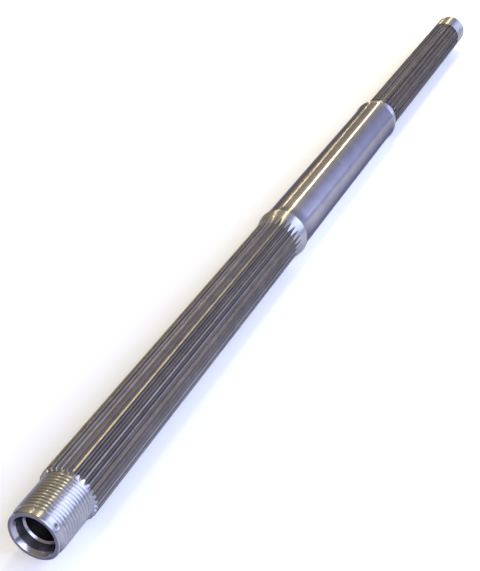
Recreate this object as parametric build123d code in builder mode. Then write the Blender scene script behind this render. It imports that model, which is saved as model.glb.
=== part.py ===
from build123d import *
from math import acos, cos, pi, radians, sin, sqrt, tan
import os

# Splined drive shaft, turned and hobbed from one hollow steel bar.
# Frame: the shaft lies along X with +Z up, its threaded end towards -X, and the origin
# is on its axis at mid-length. A station is a distance along the shaft from its
# threaded end face.

# ---- Driving dimensions, in millimetres and degrees ----

# Involute splines, 16/32 diametral pitch, with the tip and root diameters of fillet root splines
spline_module = 25.4 / 16
pressure_angle = 30
near_teeth = 30
far_teeth = 26
near_clocking = 2.8         # turn of a tooth space from +Y towards +Z
far_clocking = 8.1
hob_radius = 38.1
hob_reach = 0.9             # how far a tooth space is cut past the tips of the teeth
hob_sweep = 45              # angle that the hob is followed through as it leaves the bar

# Threaded end
pilot_length = 6.5
pilot_step = 0.925          # pilot below the crest of the thread
thread_length = 38.0
thread_clearance = 0.16     # thread below the roots of the spline, so that a hub slides over it
thread_pitch = 25.4 / 8
thread_depth_share = 0.6134 # depth of the unified thread form, as a share of the pitch
thread_lead = 0.6           # from the start of the thread to the middle of its first groove
tooth_chamfer_length = 2.8
near_edge_chamfer = 0.4

# Lengths between the threaded end and the far end
near_spline_length = 410.2
near_collar_rise_length = 18.0
near_collar_fall_length = 13.8
body_length = 286.2
far_collar_rise_length = 23.8
far_collar_fall_length = 18.7
far_spline_length = 333.0
far_land_length = 37.0
far_edge_chamfer = 1.1

# Ground body, and the collars, which stand out to where their two cones would meet
body_radius = 25.4
near_collar_height = 1.94   # above the body or the tips of the teeth
far_collar_height = 1.05
crest_radius = 12.0
near_foot_radius = 20.0     # blend from the near teeth up to their collar
body_foot_radius = 100.0    # blends from the body up to both collars
far_foot_radius = 50.0      # blend from the far teeth up to their collar
hob_climb = 1.8             # how far the run-outs of the near teeth climb past the foot of the collar
blend_share = 0.45          # most of a straight line that a blend at its end may take up

# Bore
bore_radius = 14.0
counterbore_depth = 10.75
counterbore_step = 1.5      # chamfer from the counterbore down to the bore
counterbore_flare = 1.25    # counterbore's growth in radius towards its mouth
mouth_chamfer = 1.25
far_bore_chamfer = 1.0

# ---- Worked out from them ----


class SplineTeeth:
    """Radii of an external involute spline, and the length of its run-outs."""

    def __init__(self, teeth):
        self.teeth = teeth
        self.pitch_radius = spline_module * teeth / 2
        self.base_radius = self.pitch_radius * cos(radians(pressure_angle))
        self.tip_radius = spline_module * (teeth + 1) / 2
        self.root_radius = spline_module * (teeth - 1.8) / 2
        self.depth = self.tip_radius - self.root_radius
        self.runout_length = sqrt(hob_radius**2 - (hob_radius - self.depth) ** 2)

    def space_half_angle(self, radius):
        """Half the angle of a tooth space at a radius, in radians: it widens along an involute."""
        angle = acos(self.base_radius / radius)
        tooth_half_angle = pi / (2 * self.teeth) + involute(radians(pressure_angle)) - involute(angle)
        return pi / self.teeth - tooth_half_angle

    def flank_point(self, radius, side):
        """A point on the flank of the space that is centred on X; side is 1 or -1."""
        angle = self.space_half_angle(radius)
        return (radius * cos(angle), side * radius * sin(angle))


def involute(angle):
    return tan(angle) - angle


near_spline = SplineTeeth(near_teeth)
far_spline = SplineTeeth(far_teeth)

thread_radius = near_spline.root_radius - thread_clearance
thread_depth = thread_pitch * thread_depth_share
pilot_radius = thread_radius - pilot_step
near_collar_radius = max(body_radius, near_spline.tip_radius) + near_collar_height
far_collar_radius = max(body_radius, far_spline.tip_radius) + far_collar_height

# Stations
thread_start = pilot_length
thread_end = thread_start + thread_length
near_teeth_start = thread_end + tooth_chamfer_length
near_teeth_end = near_teeth_start + near_spline_length
near_crest = near_teeth_end + near_collar_rise_length
body_start = near_crest + near_collar_fall_length
body_end = body_start + body_length
far_crest = body_end + far_collar_rise_length
far_teeth_start = far_crest + far_collar_fall_length
far_teeth_end = far_teeth_start + far_spline_length
length = far_teeth_end + far_land_length

# Stations between which each spline is at full depth
near_full_depth = (thread_end, near_teeth_end + hob_climb - near_spline.runout_length)
far_full_depth = (far_teeth_start + far_spline.runout_length, far_teeth_end - far_spline.runout_length)

# In this plane a point is (station, radius). It runs along the middle of a near tooth space,
# which cuts away the seam of the turned faces there.
profile_plane = Plane(
    origin=(-length / 2, 0, 0), x_dir=(1, 0, 0), z_dir=Vector(0, 0, 1).rotate(Axis.X, near_clocking)
)


def blended_line(corners):
    """Straight lines through corners given as (station, radius, blend radius).

    A blend is made smaller where it would take up more than its share of the lines beside it.
    """
    blends = []
    for before, corner, after in zip(corners, corners[1:], corners[2:]):
        run_in = Vector(corner[0] - before[0], corner[1] - before[1])
        run_out = Vector(after[0] - corner[0], after[1] - corner[1])
        turn = radians(run_in.get_angle(run_out))
        largest = blend_share * min(run_in.length, run_out.length) / tan(turn / 2) if turn > 0 else 0
        blends.append(min(corner[2], largest))
    FilletPolyline(*[corner[:2] for corner in corners], radius=blends)


def thread_corners():
    """Corners of the thread's outline, from the pilot to its last crest.

    Its turns are drawn as rings at the pitch, with sharp crests and grooves, to keep faces few.
    """
    half_pitch = thread_pitch / 2
    corners = [
        (thread_start + thread_lead - half_pitch * (1 - pilot_step / thread_depth), pilot_radius, 0)
    ]
    for turn in range(int((thread_length - thread_lead + half_pitch) / thread_pitch)):
        groove = thread_start + thread_lead + turn * thread_pitch
        corners += [(groove, thread_radius - thread_depth, 0), (groove + half_pitch, thread_radius, 0)]
    return corners


def tooth_space(spline, start, end, runouts):
    """Solid of one tooth space, along local Z with local X pointing away from the shaft's axis.

    Its flanks are arcs through three points of the involute, and its narrow root is left flat.
    It is at full depth from start to end. Each runout is the end where the hob leaves the bar,
    as (station, direction), with direction 1 towards the far end and -1 towards the threaded end.
    """
    flank_top = spline.tip_radius + hob_reach
    flank_middle = (spline.root_radius + flank_top) / 2
    with BuildPart() as space:
        with BuildSketch(Plane.XY.offset(start - length / 2)) as section:
            with BuildLine():
                for side in (1, -1):
                    ThreePointArc(
                        spline.flank_point(spline.root_radius, side),
                        spline.flank_point(flank_middle, side),
                        spline.flank_point(flank_top, side),
                    )
                for radius in (spline.root_radius, flank_top):
                    Line(spline.flank_point(radius, 1), spline.flank_point(radius, -1))
            make_face()
        extrude(amount=end - start)
        for station, direction in runouts:
            with BuildSketch(Plane.XY.offset(station - length / 2)):
                add(section.sketch_local)
            hob_axis = Axis((spline.root_radius + hob_radius, 0, station - length / 2), (0, direction, 0))
            revolve(axis=hob_axis, revolution_arc=hob_sweep)
    return space.part


# ---- The shaft ----

with BuildPart(Plane.YZ) as splined_shaft:
    # Turned outline
    with BuildSketch(profile_plane):
        with BuildLine():
            blended_line(
                [
                    (0, 0, 0),
                    (0, pilot_radius - near_edge_chamfer, 0),
                    (near_edge_chamfer, pilot_radius, 0),
                    *thread_corners(),
                    (thread_end, thread_radius, 0),
                    (near_teeth_start, near_spline.tip_radius, 0),
                    (near_teeth_end, near_spline.tip_radius, near_foot_radius),
                    (near_crest, near_collar_radius, crest_radius),
                    (body_start, body_radius, body_foot_radius),
                    (body_end, body_radius, body_foot_radius),
                    (far_crest, far_collar_radius, crest_radius),
                    (far_teeth_start, far_spline.tip_radius, far_foot_radius),
                    (length - far_edge_chamfer, far_spline.tip_radius, 0),
                    (length, far_spline.tip_radius - far_edge_chamfer, 0),
                    (length, 0, 0),
                ]
            )
            Line((length, 0), (0, 0))
        make_face()
    revolve(axis=Axis.X)

    # Bore, with its tapered counterbore at the threaded end
    counterbore_radius = bore_radius + counterbore_step
    mouth_radius = counterbore_radius + counterbore_flare
    with BuildSketch(profile_plane):
        with BuildLine():
            Polyline(
                (0, 0),
                (0, mouth_radius + mouth_chamfer),
                (mouth_chamfer, mouth_radius),
                (counterbore_depth, counterbore_radius),
                (counterbore_depth + counterbore_step, bore_radius),
                (length - far_bore_chamfer, bore_radius),
                (length, bore_radius + far_bore_chamfer),
                (length, 0),
                close=True,
            )
        make_face()
    revolve(axis=Axis.X, mode=Mode.SUBTRACT)

    # Spline teeth
    start, end = near_full_depth
    with PolarLocations(0, near_teeth, start_angle=near_clocking):
        add(tooth_space(near_spline, start, end, [(end, 1)]), mode=Mode.SUBTRACT)
    start, end = far_full_depth
    with PolarLocations(0, far_teeth, start_angle=far_clocking):
        add(tooth_space(far_spline, start, end, [(start, -1), (end, 1)]), mode=Mode.SUBTRACT)

splined_shaft.part.label = "splined_shaft"

os.makedirs("parts", exist_ok=True)
export_step(splined_shaft.part, "parts/splined_shaft.step")
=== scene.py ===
"""Splined drive shaft: turned, hobbed and ground from one hollow steel bar.

Sizes are in millimetres. A station is a distance along the shaft from its threaded end face,
and an angle is measured round the axis from +Y towards +Z.
"""

import bmesh
import bpy
import numpy as np
from mathutils import Euler, Matrix, Vector


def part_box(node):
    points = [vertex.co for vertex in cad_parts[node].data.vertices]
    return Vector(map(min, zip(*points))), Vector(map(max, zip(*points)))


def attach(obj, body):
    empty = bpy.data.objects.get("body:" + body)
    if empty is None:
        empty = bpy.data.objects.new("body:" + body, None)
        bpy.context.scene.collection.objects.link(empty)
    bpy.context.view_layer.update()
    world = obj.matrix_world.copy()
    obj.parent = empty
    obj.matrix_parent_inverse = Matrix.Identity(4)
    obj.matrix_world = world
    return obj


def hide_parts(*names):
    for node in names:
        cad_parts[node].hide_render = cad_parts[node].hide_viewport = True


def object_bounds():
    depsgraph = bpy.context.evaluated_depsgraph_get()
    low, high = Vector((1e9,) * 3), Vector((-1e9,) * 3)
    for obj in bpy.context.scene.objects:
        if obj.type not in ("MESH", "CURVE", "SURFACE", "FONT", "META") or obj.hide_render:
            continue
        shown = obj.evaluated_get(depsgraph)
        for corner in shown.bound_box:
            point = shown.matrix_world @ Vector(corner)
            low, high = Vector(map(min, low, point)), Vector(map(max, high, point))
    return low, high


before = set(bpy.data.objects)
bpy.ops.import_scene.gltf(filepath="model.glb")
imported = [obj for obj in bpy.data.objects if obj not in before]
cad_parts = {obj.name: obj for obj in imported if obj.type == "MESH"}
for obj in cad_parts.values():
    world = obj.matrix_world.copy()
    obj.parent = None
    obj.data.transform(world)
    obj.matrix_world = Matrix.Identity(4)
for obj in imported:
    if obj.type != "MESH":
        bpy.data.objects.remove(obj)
cad_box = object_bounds()

MM = 0.001
SHAFT = "splined_shaft"
near_face_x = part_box(SHAFT)[0].x

# ---- Sizes of the shaft ----

# Splines
spline_module = 25.4 / 16
pressure_angle = np.radians(30)
root_height = 0.27          # rise of the rounded root up to the flanks
flank_overrun = 1.5         # how far past the tooth tips the flanks are worked out
hob_radius = 38.1
edge_break = 0.12           # stoned edges of the tooth tips
bare_depth = 0.02           # share of full depth down to which the turned outline is still bare

# Threaded end
pilot_length = 6.5
pilot_step = 0.925          # pilot below the crests of the thread
thread_pitch = 3.175
thread_length = 38.0
thread_clearance = 0.16     # thread below the roots of the near spline
groove_start = 4.1          # station where the thread groove starts, in the pilot
groove_start_angle = 143.8  # in degrees
groove_run_in = 0.02        # turns over which the groove reaches its depth
groove_run_out = 1.6        # length over which it fades at the end of the thread
helix_start = 2.5           # station where the helical surface takes over from the plain pilot
plunge_offset = 0.6         # middle of the tool's plunge mark past the start of the groove
plunge_half_length = 2.0
plunge_half_width = 2.4
plunge_depth = 1.3
plunge_shaded_share = 0.7     # share of the mark, from its middle, that is left dull and painted dark as shade
tooth_chamfer_length = 2.8
near_edge_chamfer = 0.8

# Lengths between the threaded end and the far end
near_spline_length = 410.2
near_collar_rise_length = 18.0
near_collar_fall_length = 13.8
body_length = 286.2
far_collar_rise_length = 23.8
far_collar_fall_length = 18.7
far_spline_length = 333.0
far_land_length = 37.0
far_edge_chamfer = 1.1

# Body and collars
body_radius = 25.4
near_collar_height = 1.94
far_collar_height = 1.05
near_crest_radius = 8.0
far_crest_radius = 5.0
near_foot_radius = 20.0
body_foot_radius = 100.0
far_foot_radius = 50.0
# Hollow of each collar's rise: how far its corner is before the crest, how high it is above the foot
# of the rise, and its blend radius
near_hollow = (6.0, 1.4, 25.0)
far_hollow = (4.0, 0.35, 15.0)
hob_climb = 4.6             # reach of the near run-outs past the foot of the collar, at the tips' height

# Bore
bore_radius = 14.0
counterbore_depth = 10.75
counterbore_step = 1.5      # chamfer from the counterbore down to the bore
lip_length = 3.4            # flared lip at the mouth
lip_radius = 16.0           # where the counterbore meets the lip
mouth_radius = 18.0         # where the lip meets the near face
far_bore_chamfer = 1.0

# Ends of the finishes
face_margin = 0.02          # stations this close to the near end count as on its face
corner_reach = 0.3          # how far past a corner its finish carries on
near_runout_reach = 15.4    # from full depth to past the ends of the run-outs
far_runout_reaches = (14.5, 13.2)   # the same at the collar's end and the far end of the far teeth
far_hobbing_reach = 13.0    # from full depth to where the far land's finish starts
bare_tips_length = 8.0      # tooth tips before the near collar that the hob left bright
near_bright_margin = 0.3    # end of the near collar's bright rise, before its crest
far_bright_margin = 2.6     # start of the far collar's bright crest, before its middle
far_dull_margin = 8.0       # end of that bright crest, before the far teeth

# Points of the curve of half a tooth space, on its root and on its flank
root_points = 40
flank_points = 120


def involute(angle):
    """Involute function: the tangent of an angle less the angle."""
    return np.tan(angle) - angle


class SplineTeeth:
    """External involute spline with rounded roots. Half a tooth space is a curve from the middle
    of its root to past the tooth tip, held as points across and above the root.

    Clocking is the angle of the middle of a space, in degrees. A ring of points round the shaft has
    tooth_points to a tooth, space_points of them in the space.
    """

    def __init__(self, teeth, clocking, space_points, tooth_points):
        self.teeth = teeth
        self.clocking = np.radians(clocking)
        self.space_points = space_points
        self.tooth_points = tooth_points
        self.pitch_angle = 2 * np.pi / teeth
        pitch_radius = spline_module * teeth / 2
        self.base_radius = pitch_radius * np.cos(pressure_angle)
        self.tip_radius = spline_module * (teeth + 1) / 2
        self.root_radius = spline_module * (teeth - 1.8) / 2
        self.depth = self.tip_radius - self.root_radius
        self.runout_length = np.sqrt(hob_radius**2 - (hob_radius - self.depth) ** 2)
        self.across, self.above, self.share = self.half_space()

    def half_space(self):
        """Root arc of constant radius, then the involute flank, by share of their length."""
        radius = np.linspace(self.root_radius + root_height, self.tip_radius + flank_overrun,
                             flank_points)
        angle = np.arccos(self.base_radius / radius)
        tooth_half = np.pi / (2 * self.teeth) + involute(pressure_angle) - involute(angle)
        half = np.pi / self.teeth - tooth_half
        flank_across, flank_above = radius * np.sin(half), radius * np.cos(half) - self.root_radius
        arc_angle = 2 * np.arctan2(flank_above[0], flank_across[0])
        arc = np.linspace(0, arc_angle, root_points)[:-1]
        arc_radius = flank_across[0] / np.sin(arc_angle)
        across = np.concatenate([arc_radius * np.sin(arc), flank_across])
        above = np.concatenate([arc_radius * (1 - np.cos(arc)), flank_above])
        length = np.concatenate([[0], np.cumsum(np.hypot(np.diff(across), np.diff(above)))])
        return across, above, length / length[-1]


near_spline = SplineTeeth(30, 2.8, space_points=9, tooth_points=13)
far_spline = SplineTeeth(26, 8.1, space_points=11, tooth_points=15)
ring_points = near_spline.teeth * near_spline.tooth_points   # the same number as the far teeth give
point_angle = 2 * np.pi / ring_points
thread_radius = near_spline.root_radius - thread_clearance
pilot_radius = thread_radius - pilot_step
near_collar_radius = max(body_radius, near_spline.tip_radius) + near_collar_height
far_collar_radius = max(body_radius, far_spline.tip_radius) + far_collar_height

# Stations
thread_end = pilot_length + thread_length
near_teeth_start = thread_end + tooth_chamfer_length
near_teeth_end = near_teeth_start + near_spline_length
near_crest = near_teeth_end + near_collar_rise_length
body_start = near_crest + near_collar_fall_length
body_end = body_start + body_length
far_crest = body_end + far_collar_rise_length
far_teeth_start = far_crest + far_collar_fall_length
far_teeth_end = far_teeth_start + far_spline_length
length = far_teeth_end + far_land_length
near_full_depth = (thread_end, near_teeth_end + hob_climb - near_spline.runout_length)
far_full_depth = (far_teeth_start + far_spline.runout_length, far_teeth_end - far_spline.runout_length)
body_middle = (body_start + body_end) / 2


# ---- Profiles ----

def blended_profile(corners, steps):
    """Points along straight lines whose corners are rounded by arcs, tangent to both lines.
    Each corner is (station, radius, blend radius), and each arc has as many points as steps."""
    points = [np.array(corners[0][:2], float)]
    for before, corner, after in zip(corners, corners[1:], corners[2:]):
        middle = np.array(corner[:2], float)
        run_in = middle - before[:2]
        run_out = np.array(after[:2], float) - middle
        run_in /= np.hypot(*run_in)
        run_out /= np.hypot(*run_out)
        side = np.array([-run_in[1], run_in[0]])
        turn = np.arctan2(run_out @ side, run_out @ run_in)
        if corner[2] == 0:
            points.append(middle)
            continue
        start = middle - run_in * corner[2] * np.tan(abs(turn) / 2)
        for angle in np.linspace(0, abs(turn), steps):
            bend = np.sign(turn) * (1 - np.cos(angle)) * side
            points.append(start + corner[2] * (np.sin(angle) * run_in + bend))
    points.append(np.array(corners[-1][:2], float))
    return np.array(points)


toothed_profile = blended_profile(
    [
        (thread_end, thread_radius, 0),
        (near_teeth_start, near_spline.tip_radius, 0.4),
        (near_teeth_end, near_spline.tip_radius, near_foot_radius),
        (near_crest - near_hollow[0], near_spline.tip_radius + near_hollow[1], near_hollow[2]),
        (near_crest, near_collar_radius, near_crest_radius),
        (body_start, body_radius, body_foot_radius),
        (body_end, body_radius, body_foot_radius),
        (far_crest - far_hollow[0], body_radius + far_hollow[1], far_hollow[2]),
        (far_crest, far_collar_radius, far_crest_radius),
        (far_teeth_start, far_spline.tip_radius, far_foot_radius),
        (length - far_edge_chamfer, far_spline.tip_radius, 0.2),
        (length, far_spline.tip_radius - far_edge_chamfer, 0.2),
    ],
    steps=7,
)


def outline_radius(station):
    """Radius of the turned outline, by straight lines between the points of its profile."""
    return np.interp(station, toothed_profile[:, 0], toothed_profile[:, 1])


# ---- Surfaces ----

hob_clear = 30              # this far past full depth the hob is clear of the steel
step_width = 0.02           # of the ring of faces between the thread's points and the finer teeth's


def toothed_rings(spline, stations, full_depth):
    """Rings of points round the shaft, one per station, each with the same number of points.

    A tooth space is the half-space curve on both sides of its middle. Past full depth each point
    of that curve follows an arc about the hob's axis, and the space ends where it meets the
    turned outline. Between spaces the points lie on the outline. Gives angle, radius, and depth
    below the outline as a share of full depth.
    """
    per_space, per_tooth = spline.space_points, spline.tooth_points
    outline = outline_radius(stations)[:, None]
    past = np.maximum(full_depth[0] - stations, stations - full_depth[1]).clip(0, hob_clear)[:, None]

    def space_surface(share):
        """Half-space curve by share of its length. Each of its points keeps its distance from the
        hob's axis, so it climbs by a circle's rise over the length past full depth."""
        across = np.interp(share, spline.share, spline.across)
        above = np.interp(share, spline.share, spline.above)
        rise = spline.root_radius + hob_radius - np.sqrt((hob_radius - above) ** 2 - past**2)
        return across, rise

    across, rise = space_surface(spline.share[None, :])
    table = np.hypot(rise, across)
    # The edge is the share of the curve at which it meets the outline, less the broken corner
    broken = np.minimum(edge_break, 0.5 * (outline - table[:, :1]).clip(0))
    inside = (table < outline - broken).sum(axis=1)[:, None]
    low = np.take_along_axis(table, (inside - 1).clip(0), axis=1)
    high = np.take_along_axis(table, inside.clip(1), axis=1)
    part = np.where(inside > 0, (outline - broken - low) / (high - low), 0)
    edge = np.where(inside > 0, spline.share[(inside - 1).clip(0)] * (1 - part)
                    + spline.share[inside.clip(1)] * part, 0)

    places = np.linspace(-1, 1, per_space)[None, :]
    across, rise = space_surface(np.abs(places) * edge)
    has_space = inside > 0
    space_angle = np.arctan2(np.sign(places) * across, rise)
    space_radius = np.hypot(rise, across)

    land_points = per_tooth - per_space
    bevel = broken / outline
    land_start = space_angle[:, -1:] + bevel
    land_end = spline.pitch_angle + space_angle[:, :1] - bevel
    land_angle = land_start + (land_end - land_start) * np.linspace(0, 1, land_points)[None, :]

    even = (np.arange(per_tooth) - per_space // 2)[None, :] * spline.pitch_angle / per_tooth
    angle = np.where(has_space, np.concatenate([space_angle, land_angle], axis=1), even)
    radius = np.where(
        has_space, np.concatenate([space_radius, outline + 0 * land_angle], axis=1), outline + 0 * even
    )
    turns = np.arange(spline.teeth)[None, :, None] * spline.pitch_angle + spline.clocking
    count = len(stations)
    angle = (angle[:, None, :] + turns).reshape(count, -1)
    radius = np.repeat(radius[:, None, :], spline.teeth, axis=1).reshape(count, -1)
    depth = (outline - radius) / spline.depth
    return angle, radius, depth


def to_points(station, angle, radius):
    """Points in metres in the part's frame from stations, angles and radii of one shape."""
    station, angle, radius = np.broadcast_arrays(station, angle, radius)
    return np.stack(
        [near_face_x + station * MM, radius * np.cos(angle) * MM, radius * np.sin(angle) * MM], axis=-1
    )


def ring_quads(rings, columns, first=0, closed=True):
    """Corner numbers of the quads between rings of points, facing away from the steel."""
    row = np.arange(rings - 1)[:, None] * columns
    col = np.arange(columns if closed else columns - 1)[None, :]
    after = (col + 1) % columns
    return (first + np.stack([row + col, row + after, row + columns + after, row + columns + col],
                             axis=-1)).reshape(-1, 4)


class Skin:
    """Collects grids of points and their faces, each with a finish."""

    def __init__(self):
        self.points, self.depths, self.faces, self.finishes, self.count = [], [], [], [], 0

    def add_grid(self, points, finish, depth=0.0, closed=True):
        """Rings of points and the quads between them, with a finish for each step from ring to ring
        or for each face."""
        rings, columns = points.shape[:2]
        self.faces += ring_quads(rings, columns, self.count, closed).tolist()
        finish = np.asarray(finish)
        finish = finish[:, None] if finish.ndim == 1 else finish
        self.finishes.append(np.broadcast_to(finish, (rings - 1, columns - (not closed))).ravel())
        self.add_points(points.reshape(-1, 3), np.broadcast_to(depth, (rings, columns)).ravel())

    def add_points(self, points, depth):
        """Points numbered on from those already there, each with its depth below the outline."""
        self.points.append(points)
        self.depths.append(depth)
        self.count += len(points)

    def add_step(self, coarse, fine, finish, coarse_first):
        """Six-sided faces between a ring and one with three times as many points."""
        near, far = self.count, self.count + len(coarse)
        k = np.arange(len(coarse))
        after = (k + 1) % len(coarse)
        fine_after = (3 * k + 3) % len(fine)
        corners = np.stack([near + k, near + after, far + fine_after, far + 3 * k + 2,
                            far + 3 * k + 1, far + 3 * k], axis=-1)
        if not coarse_first:
            corners = corners[:, ::-1]
        self.faces += corners.tolist()
        self.finishes.append(np.full(len(coarse), finish))
        self.add_points(np.concatenate([coarse, fine]), np.zeros(len(coarse) + len(fine)))


def finish_by_station(stations, steps):
    """Finish of the faces between each station and the next. Each step is (end, finish), and a
    face has the finish of the first step whose end lies past its own start."""
    starts = stations[:-1]
    return np.select([starts < end for end, finish in steps], [finish for end, finish in steps])


TURNED, HOBBED, GROUND, DRILLED, FACED, COARSE = range(6)
coarse_points = ring_points // 3   # points round the bore and the thread
near_first_angle = near_spline.clocking - near_spline.space_points // 2 * point_angle
near_columns = near_first_angle + np.arange(coarse_points) * 3 * point_angle
skin = Skin()

# ---- Bore, counterbore, near face and pilot: one profile turned round the axis ----

counterbore_radius = bore_radius + counterbore_step
bore_profile = blended_profile(
    [
        (length, bore_radius + far_bore_chamfer, 0),
        (length - far_bore_chamfer, bore_radius, 0.1),
        (counterbore_depth + counterbore_step, bore_radius, 0.3),
        (counterbore_depth, counterbore_radius, 0.3),
        (lip_length, lip_radius, 1.5),
        (0, mouth_radius, 0.4),
        (0, pilot_radius - near_edge_chamfer, 0.15),
        (near_edge_chamfer, pilot_radius, 0.15),
        (helix_start, pilot_radius, 0),
    ],
    steps=4,
)
before, after = bore_profile[:-1], bore_profile[1:]
on_face = (before[:, 0] < face_margin) & (after[:, 0] < face_margin)
on_lip = (before[:, 0] < lip_length + corner_reach) & (after[:, 1] < mouth_radius) & ~on_face
in_bore = after[:, 0] > counterbore_depth + counterbore_step - corner_reach
# The deep bore takes the drilled finish, whose dark colour is painted shade inside it.
bore_finish = np.select([on_face, on_lip, in_bore], [FACED, GROUND, DRILLED], TURNED)
skin.add_grid(to_points(bore_profile[:, :1], near_columns[None, :], bore_profile[:, 1:]), bore_finish)

# ---- Thread: rows follow the helix, and are held back at both ends of the threaded length ----

crest, shoulder, flank, foot = 0.20, 0.26, 0.34, 0.43   # rows on both sides of a crest, in pitches
crest_half_width = 0.23     # in pitches: the crests are worn wide
thread_half_angle = np.radians(30)
phases = np.array([-foot, -flank, -shoulder, -crest, crest, shoulder, flank, foot, 0.5])


def groove_depth(phase):
    """Depth of a 60 degree thread groove: straight flanks down from the worn crest to a flat bottom.
    Phase is the distance from the middle of the crest in pitches."""
    straight = (np.abs(phase) - crest_half_width).clip(0) * thread_pitch / np.tan(thread_half_angle)
    return np.minimum(straight, (foot - crest_half_width) * thread_pitch / np.tan(thread_half_angle))


turns = np.arange(-1, int(thread_end / thread_pitch) + 2)
rows = (turns[:, None] + phases[None, :]).reshape(-1, 1)
columns = np.arange(coarse_points + 1)[None, :] / coarse_points + near_columns[0] / (2 * np.pi)
start_turn = groove_start_angle / 360
crest_offset = groove_start - (start_turn + 0.5) * thread_pitch
station = (crest_offset + (rows + columns) * thread_pitch).clip(helix_start, thread_end)
phase = (station - crest_offset) / thread_pitch - columns
turns_cut = np.floor(phase) + columns - start_turn
started = (turns_cut / groove_run_in).clip(0, 1)
washed_out = ((thread_end - station) / groove_run_out).clip(0, 1)
blank = np.interp(station, [pilot_length, pilot_length + pilot_step], [pilot_radius, thread_radius])
depth = groove_depth(phase - np.round(phase)) * started * washed_out
plunge = np.hypot(
    (station - groove_start - plunge_offset) / plunge_half_length,
    (columns - start_turn) * 2 * np.pi * pilot_radius / plunge_half_width)   # 0 at its middle, 1 at its rim
thread_surface = np.minimum(blank, thread_radius - depth) - plunge_depth * (1 - plunge).clip(0)
# The middle of the plunge mark takes the drilled finish, whose dark colour is painted shade in the pit.
thread_finish = np.where(plunge[:-1, :-1] < plunge_shaded_share, DRILLED, COARSE)
skin.add_grid(to_points(station, columns * 2 * np.pi, thread_surface), thread_finish, closed=False)

# ---- Toothed lengths and body, in rings of equal count from the thread to the far end ----


def runout_stations(start, reach, count):
    """Stations from a start over a reach, by the sine of even angles up to a right angle, so that
    they lie closer together at the end, where a run-out meets the outline."""
    return start + reach * np.sin(np.linspace(0, np.pi / 2, count))


def is_land(depth):
    """True for faces whose four corners are all on the turned outline."""
    shallow = depth < bare_depth
    shallow = shallow & np.roll(shallow, -1, axis=1)
    return shallow[:-1] & shallow[1:]


runout_rings = 24           # along each run-out
profile_stations = toothed_profile[:, 0]
near_hobbing_end = near_full_depth[1] + near_runout_reach
near_stations = np.unique(np.round(np.concatenate([
    profile_stations[profile_stations < body_middle],
    np.linspace(thread_end, near_teeth_start, 8),
    np.linspace(near_teeth_start, near_full_depth[1], 7),
    runout_stations(near_full_depth[1], near_runout_reach, runout_rings),
    np.linspace(near_hobbing_end, near_crest, 6),
    [body_middle],
]), 4))
far_stations = np.unique(np.round(np.concatenate([
    [body_middle],
    profile_stations[profile_stations > body_middle],
    runout_stations(far_full_depth[0], -far_runout_reaches[0], runout_rings),
    np.linspace(far_full_depth[0], far_full_depth[1], 6),
    runout_stations(far_full_depth[1], far_runout_reaches[1], runout_rings),
]), 4))

near_angle, near_radius, near_depth = toothed_rings(near_spline, near_stations, near_full_depth)
near_points = to_points(near_stations[:, None], near_angle, near_radius)
near_finish = finish_by_station(near_stations, [
    (near_teeth_start, TURNED), (near_hobbing_end, HOBBED), (near_crest - near_bright_margin, COARSE),
    (length, GROUND)])[:, None]
bare_tips = is_land(near_depth) & (near_stations[:-1, None] > near_teeth_end - bare_tips_length)
near_finish = np.where(bare_tips & (near_finish == HOBBED), COARSE, near_finish)

# The far rings are numbered on by whole points, so that the body isn't twisted
far_first_angle = far_spline.clocking - far_spline.space_points // 2 * point_angle
far_shift = round((far_first_angle - near_first_angle) / point_angle)
far_angle, far_radius, far_depth = (
    np.roll(ring, far_shift, axis=1) for ring in toothed_rings(far_spline, far_stations, far_full_depth))
far_points = to_points(far_stations[:, None], far_angle, far_radius)
far_finish = finish_by_station(far_stations, [
    (far_crest - far_bright_margin, GROUND), (far_teeth_start - far_dull_margin, COARSE),
    (far_full_depth[1] + far_hobbing_reach, HOBBED), (length, COARSE)])

far_points[0] = near_points[-1]
first_ring_angle = np.arctan2(near_points[0, :, 2], near_points[0, :, 1])
near_points[0] = to_points(near_stations[0] + step_width, first_ring_angle, thread_radius)
skin.add_step(to_points(thread_end, near_columns, thread_radius), near_points[0], TURNED, coarse_first=True)
skin.add_grid(near_points, near_finish, near_depth)
skin.add_grid(far_points, far_finish, far_depth)
far_bore_ring = to_points(length, near_columns, bore_radius + far_bore_chamfer)
skin.add_step(far_bore_ring, far_points[-1], TURNED, coarse_first=False)


# ---- Materials ----

def colour(hex_code):
    """Linear colour from an sRGB hex value."""
    srgb = np.array([int(hex_code[k:k + 2], 16) for k in (1, 3, 5)]) / 255
    linear = np.where(srgb <= 0.04045, srgb / 12.92, ((srgb + 0.055) / 1.055) ** 2.4)
    return (*linear.tolist(), 1.0)


def add(tree, kind, inputs=None, stops=None, **settings):
    """Adds a node with its settings, the stops of its ramp, and its inputs as values or links."""
    node = tree.nodes.new(kind)
    for name, value in settings.items():
        setattr(node, name, value)
    for name, value in (inputs or {}).items():
        if isinstance(value, bpy.types.NodeSocket):
            tree.links.new(value, node.inputs[name])
        else:
            node.inputs[name].default_value = value
    for number, (place, shade) in enumerate(stops or []):
        ramp = node.color_ramp.elements
        stop = ramp[number] if number < 2 else ramp.new(place)
        stop.position = place
        stop.color = colour(shade)
    return node


round_scale = 12.0          # a mark changes along its own length about every 80 mm
stain_scale = 60.0          # stains are about 17 mm across
mark_levels = (0.3, 0.7)    # noise where a tool mark is smoothest and where it is roughest
stain_levels = (0.35, 0.68)   # noise where a stain is darkest and where the steel is palest
highlight_turn = 0.25       # quarter turn, from round the shaft to along it
# Depths below the turned outline, as shares of full depth
plain_depth = 0.3           # from here down the tip tint is gone
roughening_depths = (0.03, 0.2)   # between these the roughness rises


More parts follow.
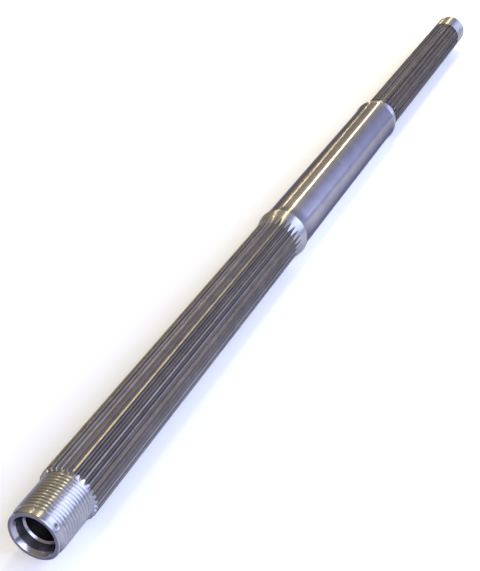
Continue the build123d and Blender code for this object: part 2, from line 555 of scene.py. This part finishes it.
def steel_material(name, dark, pale, edge_tint, roughness, roughness_range, anisotropy, mark_width,
                   mark_height, tip_tint=None, low_roughness=0.0):
    """Machined steel whose tool marks run round the shaft, so that its highlights stretch along it.

    Marks are noise that changes every mark_width along the axis and slowly round it. They move the
    roughness and the surface a little, and a broad stain moves the colour. The edge tint darkens
    steel that is seen at a glancing angle. Between teeth, the colour goes from the tip tint to
    plain and the roughness rises, by depth below the turned outline.
    """
    material = bpy.data.materials.new(name)
    material.use_nodes = True
    tree = material.node_tree
    tree.nodes.clear()
    place = add(tree, "ShaderNodeTexCoord").outputs["Object"]
    round_shaft = add(tree, "ShaderNodeVectorMath", {0: (1, 0, 0), 1: place}, operation="CROSS_PRODUCT")
    along = add(tree, "ShaderNodeMapping", {
        "Vector": place, "Scale": (1 / (mark_width * MM), round_scale, round_scale)})
    marks = add(tree, "ShaderNodeTexNoise", {"Vector": along.outputs[0], "Scale": 1.0, "Detail": 3.0,
                                             "Roughness": 0.6})
    stain = add(tree, "ShaderNodeTexNoise", {"Vector": place, "Scale": stain_scale, "Detail": 4.0,
                                             "Roughness": 0.6})
    shade = add(tree, "ShaderNodeValToRGB", {"Fac": stain.outputs["Fac"]}, [
        (stain_levels[0], dark), (stain_levels[1], pale)])
    base = shade.outputs["Color"]
    rough = add(tree, "ShaderNodeMapRange", {
        "Value": marks.outputs["Fac"], "From Min": mark_levels[0], "From Max": mark_levels[1],
        "To Min": roughness - roughness_range, "To Max": roughness + roughness_range})
    if tip_tint:
        depth = add(tree, "ShaderNodeAttribute", attribute_name="depth").outputs["Fac"]
        low = add(tree, "ShaderNodeValToRGB", {"Fac": depth}, [
            (bare_depth, tip_tint), (plain_depth, "#FFFFFF")])
        base = add(tree, "ShaderNodeMix", {"Factor": 1.0, 6: base, 7: low.outputs["Color"]},
                   data_type="RGBA", blend_type="MULTIPLY").outputs[2]
        cut = add(tree, "ShaderNodeMapRange", {
            "Value": depth, "From Min": roughening_depths[0], "From Max": roughening_depths[1],
            "To Min": 0.0, "To Max": low_roughness})
        rough = add(tree, "ShaderNodeMath", {0: rough.outputs[0], 1: cut.outputs[0]}, operation="ADD")
    bump = add(tree, "ShaderNodeBump", {"Height": marks.outputs["Fac"], "Strength": 1.0,
                                        "Distance": mark_height * MM})
    shader = add(tree, "ShaderNodeBsdfPrincipled", {
        "Base Color": base, "Metallic": 1.0, "Roughness": rough.outputs[0], "Anisotropic": anisotropy,
        "Anisotropic Rotation": highlight_turn, "Normal": bump.outputs[0], "Tangent": round_shaft.outputs[0],
        "Specular Tint": colour(edge_tint),
    })
    add(tree, "ShaderNodeOutputMaterial", {"Surface": shader.outputs[0]})
    return material


# The marks of all these finishes are wider than a tool leaves, so that they show at all.

# Fine turning on the pilot, the counterbore, the chamfers of the near teeth and the far face: a cool
# grey that smears the window along the shaft and keeps it narrow round it, so it reads as lathe work.
turned_steel = steel_material(
    "turned steel", dark="#9899A4", pale="#A7A8B3", edge_tint="#3A3A3E", roughness=0.28,
    roughness_range=0.02, anisotropy=0.82, mark_width=1.6, mark_height=0.003)

# Coarser turning on the thread, the collars and the far land: pale and broad in its shine, so
# these rings stand out white beside the dark teeth.
coarse_turned_steel = steel_material(
    "coarse turned steel", dark="#AFB0BA", pale="#BEBFC9", edge_tint="#2A2A2E", roughness=0.40,
    roughness_range=0.03, anisotropy=0.95, mark_width=1.6, mark_height=0.003)

# Facing on the near end: a violet grey, darker ring that marks the cut end of the bar. Its darker violet grey
# is painted shade: it stands in for the dim surroundings that the face mirrors.
faced_steel_painted_shade = steel_material(
    "faced steel", dark="#6E6A80", pale="#807C92", edge_tint="#606068", roughness=0.30,
    roughness_range=0.03, anisotropy=0.5, mark_width=1.6, mark_height=0.006)

# Hobbing on the teeth: dark and warm, rough in the spaces and on the flanks, smoother and a shade
# darker on the tips, so the splines read as dark lines with soft bright edges.
hobbed_steel = steel_material(
    "hobbed steel", dark="#7C7779", pale="#898486", edge_tint="#202024", roughness=0.31,
    roughness_range=0.03, anisotropy=0.6, mark_width=2.0, mark_height=0.004, tip_tint="#E2E2E2",
    low_roughness=0.30)

# Grinding on the body, and the polished lip of the bore: the smoothest finish, with sharp bright
# streaks along the shaft and a crisp white patch at the mouth of the bore.
ground_steel = steel_material(
    "ground steel", dark="#AAA9B4", pale="#B6B5BF", edge_tint="#66667C", roughness=0.21,
    roughness_range=0.01, anisotropy=0.86, mark_width=2.5, mark_height=0.0005)

# Drilling in the deep bore and on the thread's plunge mark: dull, and painted dark as shade in these hollows,
# so they fall into shade.
drilled_steel_painted_shade = steel_material(
    "drilled steel", dark="#5A5A60", pale="#77777E", edge_tint="#707074", roughness=0.35,
    roughness_range=0.04, anisotropy=0.5, mark_width=3.0, mark_height=0.010)

# ---- Mesh ----

sharp_angle = 32            # edges that turn more than this stay crisp
merge_distance = 0.002      # points this close are one
shortest_edge = 0.0001      # shorter edges are closed up
mesh = bpy.data.meshes.new("dressed_shaft")
mesh.from_pydata(np.concatenate(skin.points).tolist(), [], skin.faces)
mesh.polygons.foreach_set("material_index", np.concatenate(skin.finishes).astype(np.int32))
mesh.attributes.new("depth", "FLOAT", "POINT").data.foreach_set("value", np.concatenate(skin.depths))
for material in (turned_steel, hobbed_steel, ground_steel, drilled_steel_painted_shade, faced_steel_painted_shade, coarse_turned_steel):
    mesh.materials.append(material)   # in the order that numbers the finishes
joined = bmesh.new()
joined.from_mesh(mesh)
bmesh.ops.remove_doubles(joined, verts=joined.verts, dist=merge_distance * MM)
bmesh.ops.dissolve_degenerate(joined, edges=joined.edges, dist=shortest_edge * MM)
joined.to_mesh(mesh)
joined.free()
mesh.shade_smooth()
mesh.set_sharp_from_angle(angle=np.radians(sharp_angle))
dressed_shaft = bpy.data.objects.new("dressed_shaft", mesh)
bpy.context.collection.objects.link(dressed_shaft)
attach(dressed_shaft, "root")
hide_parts(SHAFT)

# ---- Floor, walls and lamps, in metres ----

floor_mesh = bpy.data.meshes.new("floor")
floor_z = cad_box[0][2]
floor_half = 30.0           # wide enough to fill the view
paper_glow = 0.18
floor_mesh.from_pydata([(x * floor_half, y * floor_half, floor_z) for x, y in
                        ((-1, -1), (1, -1), (1, 1), (-1, 1))], [], [(0, 1, 2, 3)])
floor = bpy.data.objects.new("floor", floor_mesh)
bpy.context.collection.objects.link(floor)
# White paper, matt and faintly blue: it keeps the shaft's soft shadow, and its own faint glow, which
# only the camera and reflections see, lifts it to white.
paper = bpy.data.materials.new("white paper")
paper.use_nodes = True
tree = paper.node_tree
tree.nodes.clear()
diffuse = add(tree, "ShaderNodeBsdfDiffuse", {"Color": colour("#E9ECF6")})
path = add(tree, "ShaderNodeLightPath")
seen = add(tree, "ShaderNodeMath", {0: path.outputs["Is Camera Ray"], 1: path.outputs["Is Glossy Ray"]},
           operation="ADD")
seen = add(tree, "ShaderNodeMath", {0: seen.outputs[0], 1: path.outputs["Is Transmission Ray"]},
           operation="ADD")
glow = add(tree, "ShaderNodeMath", {0: seen.outputs[0], 1: paper_glow}, operation="MULTIPLY")
white = add(tree, "ShaderNodeEmission", {"Strength": glow.outputs[0]})
both = add(tree, "ShaderNodeAddShader", {0: diffuse.outputs[0], 1: white.outputs[0]})
add(tree, "ShaderNodeOutputMaterial", {"Surface": both.outputs[0]})
floor_mesh.materials.append(paper)

scene = bpy.context.scene
scene.view_settings.view_transform = "Standard"
wall_strength = 2.1         # of the pale walls, which the brightness below scales
world = bpy.data.worlds.new("studio")
scene.world = world
world.use_nodes = True
tree = world.node_tree
tree.nodes.clear()
looking = add(tree, "ShaderNodeSeparateXYZ", {"Vector": add(tree, "ShaderNodeTexCoord").outputs["Generated"]})
# Colour of the walls by direction across the shaft: blue in front, cream overhead and behind
across = add(tree, "ShaderNodeMapRange", {"Value": looking.outputs["Y"], "From Min": -1.0, "From Max": 1.0})
walls = add(tree, "ShaderNodeValToRGB", {"Fac": across.outputs[0]}, [
    (0.0, "#B4C0F4"), (1.0, "#D9C9A8"), (0.28, "#C0C8FF"), (0.36, "#C6C9EE"), (0.48, "#EAE2D1"),
    (0.75, "#F2DDB4")])
# Their brightness by direction along the shaft: dim overhead, with a bright strip towards the far
# end that the near collar's rise mirrors
ahead = add(tree, "ShaderNodeMapRange", {"Value": looking.outputs["X"], "From Min": -1.0, "From Max": 1.0})
level = add(tree, "ShaderNodeValToRGB", {"Fac": ahead.outputs[0]}, [
    (0.0, "#B0B0B0"), (1.0, "#909090"), (0.2, "#909090"), (0.5, "#5C5C5C"), (0.74, "#969696"),
    (0.80, "#F0F0F0"), (0.86, "#A8A8A8"), (0.93, "#B4B4B4"), (0.965, "#989898")])
strength = add(tree, "ShaderNodeMath", {0: level.outputs["Color"], 1: wall_strength}, operation="MULTIPLY")
sky = add(tree, "ShaderNodeBackground", {"Color": walls.outputs["Color"], "Strength": strength.outputs[0]})
add(tree, "ShaderNodeOutputWorld", {"Surface": sky.outputs[0]})


def area_lamp(name, middle, turn, size, radiance, tint):
    """Rectangular lamp at a place, with a turn: its power is its radiance by its area by pi."""
    light = bpy.data.lights.new(name, "AREA")
    light.shape = "RECTANGLE"
    light.size, light.size_y = size
    light.energy = radiance * size[0] * size[1] * np.pi
    light.color = colour(tint)[:3]
    holder = bpy.data.objects.new(name, light)
    holder.location = middle
    holder.rotation_euler = turn
    bpy.context.collection.objects.link(holder)


def lamp(name, middle, toward, size, radiance, tint):
    """Lamp that faces a place, its first side as level as it can be."""
    turn = (Vector(middle) - Vector(toward)).to_track_quat("Z", "Y").to_euler()
    area_lamp(name, middle, turn, size, radiance, tint)


def tube(name, start, end, width, radiance, tint):
    """Long narrow lamp between two places above the shaft, facing down to it: its back is turned
    along the line from the origin to its middle, square to the tube."""
    start, end = Vector(start), Vector(end)
    along = (end - start).normalized()
    middle = (start + end) / 2
    up = (middle - middle.dot(along) * along).normalized()
    turn = Matrix((along, up.cross(along), up)).transposed().to_euler()
    area_lamp(name, middle, turn, ((end - start).length, width), radiance, tint)


# The window lights the thread, the skylights the body, and the door the near face. The tubes are
# the two gold streaks along the shaft.
lamp("window", (-0.25, -1.96, 1.35), (-0.57, 0, 0), (1.4, 2.0), 5.5, "#DCE8FF")
lamp("skylight", (1.3, -1.3, 1.15), (-0.1, 0, 0), (0.5, 1.6), 2.1, "#E8EEFF")
lamp("low_skylight", (1.3, -1.35, 0.95), (-0.1, 0, 0), (0.5, 2.2), 0.7, "#E8EEFF")
lamp("door", (-2.67, -1.5, 1.59), (-0.57, 0, 0), (2.0, 2.2), 3.5, "#F2F4FF")
tube("tube", (0.3, 0.05, 2.0), (6.0, 0.8, 2.0), 0.20, 11.0, "#FFF0B4")
tube("far_tube", (0.2, 0.78, 1.0), (3.4, 1.62, 1.0), 0.04, 24.0, "#FFF0B4")

# ---- Camera: beyond the threaded end and above it, looking down along the shaft ----

camera = bpy.data.cameras.new("camera")
camera.lens = 69.0
camera.sensor_width = 36.0
camera.clip_end = 200.0
viewer = bpy.data.objects.new("camera", camera)
viewer.location = (-1.04953, -0.35142, 0.54467)
viewer.rotation_euler = Euler(np.radians((58.591, 0.0, -66.803)))
bpy.context.collection.objects.link(viewer)
scene.camera = viewer
